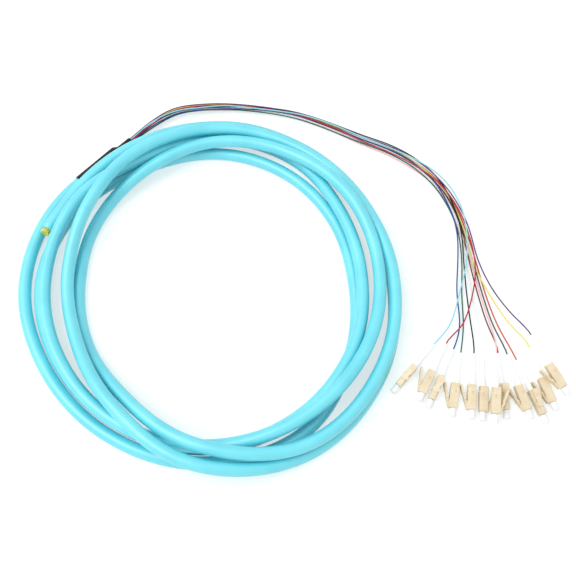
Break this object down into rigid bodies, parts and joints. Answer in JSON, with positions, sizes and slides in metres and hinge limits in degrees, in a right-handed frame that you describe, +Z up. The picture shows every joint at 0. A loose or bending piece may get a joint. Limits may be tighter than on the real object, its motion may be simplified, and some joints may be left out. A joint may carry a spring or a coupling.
{
  "type": "pre-terminated fibre optic fan-out cable",
  "caption": "Coiled round fibre optic cable, cut at one end, fanned out at the other into colour-coded buffered fibres with small latched connectors and pull-off dust caps.",
  "frame": {"origin": "centre of the bounding box on the table plane that the coil lies on", "axes": "+X along the longest side, from the coil towards the connectors; +Y across the table, away from the connectors; +Z up"},
  "size_m": [0.3578, 0.2796, 0.0273],
  "materials": {
    "jacket_aqua": "smooth satin PVC",
    "heat_shrink_black": "dull shrunk tube",
    "aramid_yellow": "loose aramid yarn",
    "ripcord_orange": "twisted thread",
    "fiber_natural": "smooth",
    "buffer_blue": "smooth extruded buffer",
    "buffer_orange": "smooth extruded buffer",
    "buffer_green": "smooth extruded buffer",
    "buffer_brown": "smooth extruded buffer",
    "buffer_slate": "smooth extruded buffer",
    "buffer_white": "smooth extruded buffer",
    "buffer_red": "smooth extruded buffer",
    "buffer_black": "smooth extruded buffer",
    "buffer_yellow": "smooth extruded buffer",
    "buffer_violet": "smooth extruded buffer",
    "buffer_rose": "smooth extruded buffer",
    "buffer_aqua": "smooth extruded buffer",
    "housing_beige": "fine moulded",
    "boot_white": "soft satin",
    "cap_clear_white": "milky translucent",
    "zirconia": "polished ceramic",
    "nickel": "plated",
    "spring_steel": "drawn wire"
  },
  "bodies": {
    "cable assembly": {"cable_jacket": "jacket_aqua", "heat_shrink_sleeve": "heat_shrink_black", "aramid_yarn": "aramid_yellow", "ripcord": "ripcord_orange", "inner_fibers": "fiber_natural", "boots": "boot_white", "rear_bodies": "housing_beige", "springs": "spring_steel", "ferrule_flanges": "nickel", "ferrules": "zirconia", "fiber_blue": "buffer_blue", "fiber_orange": "buffer_orange", "fiber_green": "buffer_green", "fiber_brown": "buffer_brown", "fiber_slate": "buffer_slate", "fiber_white": "buffer_white", "fiber_red": "buffer_red", "fiber_black": "buffer_black", "fiber_yellow": "buffer_yellow", "fiber_violet": "buffer_violet", "fiber_rose": "buffer_rose", "fiber_aqua": "buffer_aqua", "housing_blue": "housing_beige", "housing_orange": "housing_beige", "housing_green": "housing_beige", "housing_brown": "housing_beige", "housing_slate": "housing_beige", "housing_white": "housing_beige", "housing_red": "housing_beige", "housing_black": "housing_beige", "housing_yellow": "housing_beige", "housing_violet": "housing_beige", "housing_rose": "housing_beige", "housing_aqua": "housing_beige"},
    "blue latch": {"latch_blue": "housing_beige"},
    "blue dust cap": {"dust_cap_blue": "cap_clear_white"},
    "orange latch": {"latch_orange": "housing_beige"},
    "orange dust cap": {"dust_cap_orange": "cap_clear_white"},
    "green latch": {"latch_green": "housing_beige"},
    "green dust cap": {"dust_cap_green": "cap_clear_white"},
    "brown latch": {"latch_brown": "housing_beige"},
    "brown dust cap": {"dust_cap_brown": "cap_clear_white"},
    "slate latch": {"latch_slate": "housing_beige"},
    "slate dust cap": {"dust_cap_slate": "cap_clear_white"},
    "white latch": {"latch_white": "housing_beige"},
    "white dust cap": {"dust_cap_white": "cap_clear_white"},
    "red latch": {"latch_red": "housing_beige"},
    "red dust cap": {"dust_cap_red": "cap_clear_white"},
    "black latch": {"latch_black": "housing_beige"},
    "black dust cap": {"dust_cap_black": "cap_clear_white"},
    "yellow latch": {"latch_yellow": "housing_beige"},
    "yellow dust cap": {"dust_cap_yellow": "cap_clear_white"},
    "violet latch": {"latch_violet": "housing_beige"},
    "violet dust cap": {"dust_cap_violet": "cap_clear_white"},
    "rose latch": {"latch_rose": "housing_beige"},
    "rose dust cap": {"dust_cap_rose": "cap_clear_white"},
    "aqua latch": {"latch_aqua": "housing_beige"},
    "aqua dust cap": {"dust_cap_aqua": "cap_clear_white"}
  },
  "joints": [
    {"name": "blue_latch_press", "type": "hinge", "parent": "cable assembly", "child": "blue latch", "pos_m": [0.09413, -0.08662, 0.0066], "axis": [-0.891, 0.454, 0], "range_deg": [0, 12], "stiffness_Nm_per_rad": 0.1},
    {"name": "blue_dust_cap_pull", "type": "slide", "parent": "cable assembly", "child": "blue dust cap", "axis": [-0.454, -0.891, 0], "range_m": [0, 0.012]},
    {"name": "orange_latch_press", "type": "hinge", "parent": "cable assembly", "child": "orange latch", "pos_m": [0.1591, -0.09581, 0.0066], "axis": [-0.9511, -0.309, 0], "range_deg": [0, 12], "stiffness_Nm_per_rad": 0.1},
    {"name": "orange_dust_cap_pull", "type": "slide", "parent": "cable assembly", "child": "orange dust cap", "axis": [0.309, -0.9511, 0], "range_m": [0, 0.012]},
    {"name": "green_latch_press", "type": "hinge", "parent": "cable assembly", "child": "green latch", "pos_m": [0.10207, -0.09083, 0.0025], "axis": [0, 0, -1], "range_deg": [0, 12], "stiffness_Nm_per_rad": 0.1},
    {"name": "green_dust_cap_pull", "type": "slide", "parent": "cable assembly", "child": "green dust cap", "axis": [-0.225, -0.9744, 0], "range_m": [0, 0.012]},
    {"name": "brown_latch_press", "type": "hinge", "parent": "cable assembly", "child": "brown latch", "pos_m": [0.13795, -0.09267, 0.0066], "axis": [-1, -0.0087, 0], "range_deg": [0, 12], "stiffness_Nm_per_rad": 0.1},
    {"name": "brown_dust_cap_pull", "type": "slide", "parent": "cable assembly", "child": "brown dust cap", "axis": [0.009, -1, 0], "range_m": [0, 0.012]},
    {"name": "slate_latch_press", "type": "hinge", "parent": "cable assembly", "child": "slate latch", "pos_m": [0.14674, -0.09372, 0.0025], "axis": [0, 0, -1], "range_deg": [0, 12], "stiffness_Nm_per_rad": 0.1},
    {"name": "slate_dust_cap_pull", "type": "slide", "parent": "cable assembly", "child": "slate dust cap", "axis": [0.225, -0.9744, 0], "range_m": [0, 0.012]},
    {"name": "white_latch_press", "type": "hinge", "parent": "cable assembly", "child": "white latch", "pos_m": [0.12812, -0.09437, 0.0025], "axis": [0, 0, 1], "range_deg": [0, 12], "stiffness_Nm_per_rad": 0.1},
    {"name": "white_dust_cap_pull", "type": "slide", "parent": "cable assembly", "child": "white dust cap", "axis": [-0.113, -0.9936, 0], "range_m": [0, 0.012]},
    {"name": "red_latch_press", "type": "hinge", "parent": "cable assembly", "child": "red latch", "pos_m": [0.08537, -0.08047, 0.0025], "axis": [0, 0, -1], "range_deg": [0, 12], "stiffness_Nm_per_rad": 0.1},
    {"name": "red_dust_cap_pull", "type": "slide", "parent": "cable assembly", "child": "red dust cap", "axis": [-0.4772, -0.8788, 0], "range_m": [0, 0.012]},
    {"name": "black_latch_press", "type": "hinge", "parent": "cable assembly", "child": "black latch", "pos_m": [0.11329, -0.09217, 0.0025], "axis": [0, 0, -1], "range_deg": [0, 12], "stiffness_Nm_per_rad": 0.1},
    {"name": "black_dust_cap_pull", "type": "slide", "parent": "cable assembly", "child": "black dust cap", "axis": [-0.139, -0.9903, 0], "range_m": [0, 0.012]},
    {"name": "yellow_latch_press", "type": "hinge", "parent": "cable assembly", "child": "yellow latch", "pos_m": [0.16277, -0.08886, 0.0025], "axis": [0, 0, -1], "range_deg": [0, 12], "stiffness_Nm_per_rad": 0.1},
    {"name": "yellow_dust_cap_pull", "type": "slide", "parent": "cable assembly", "child": "yellow dust cap", "axis": [0.259, -0.9659, 0], "range_m": [0, 0.012]},
    {"name": "violet_latch_press", "type": "hinge", "parent": "cable assembly", "child": "violet latch", "pos_m": [0.16869, -0.0815, 0.0076], "axis": [-0.065, 0.1229, -0.9903], "range_deg": [0, 12], "stiffness_Nm_per_rad": 0.1},
    {"name": "violet_dust_cap_pull", "type": "slide", "parent": "cable assembly", "child": "violet dust cap", "axis": [0.465, -0.8743, -0.1392], "range_m": [0, 0.012]},
    {"name": "rose_latch_press", "type": "hinge", "parent": "cable assembly", "child": "rose latch", "pos_m": [0.13365, -0.09714, 0.00981], "axis": [-0.018, -0.2071, 0.9782], "range_deg": [0, 12], "stiffness_Nm_per_rad": 0.1},
    {"name": "rose_dust_cap_pull", "type": "slide", "parent": "cable assembly", "child": "rose dust cap", "axis": [-0.085, -0.9744, -0.2079], "range_m": [0, 0.012]},
    {"name": "aqua_latch_press", "type": "hinge", "parent": "cable assembly", "child": "aqua latch", "pos_m": [0.07476, -0.07832, 0.0066], "axis": [-0.7431, 0.6691, 0], "range_deg": [0, 12], "stiffness_Nm_per_rad": 0.1},
    {"name": "aqua_dust_cap_pull", "type": "slide", "parent": "cable assembly", "child": "aqua dust cap", "axis": [-0.6691, -0.7431, 0], "range_m": [0, 0.012]}
  ]
}
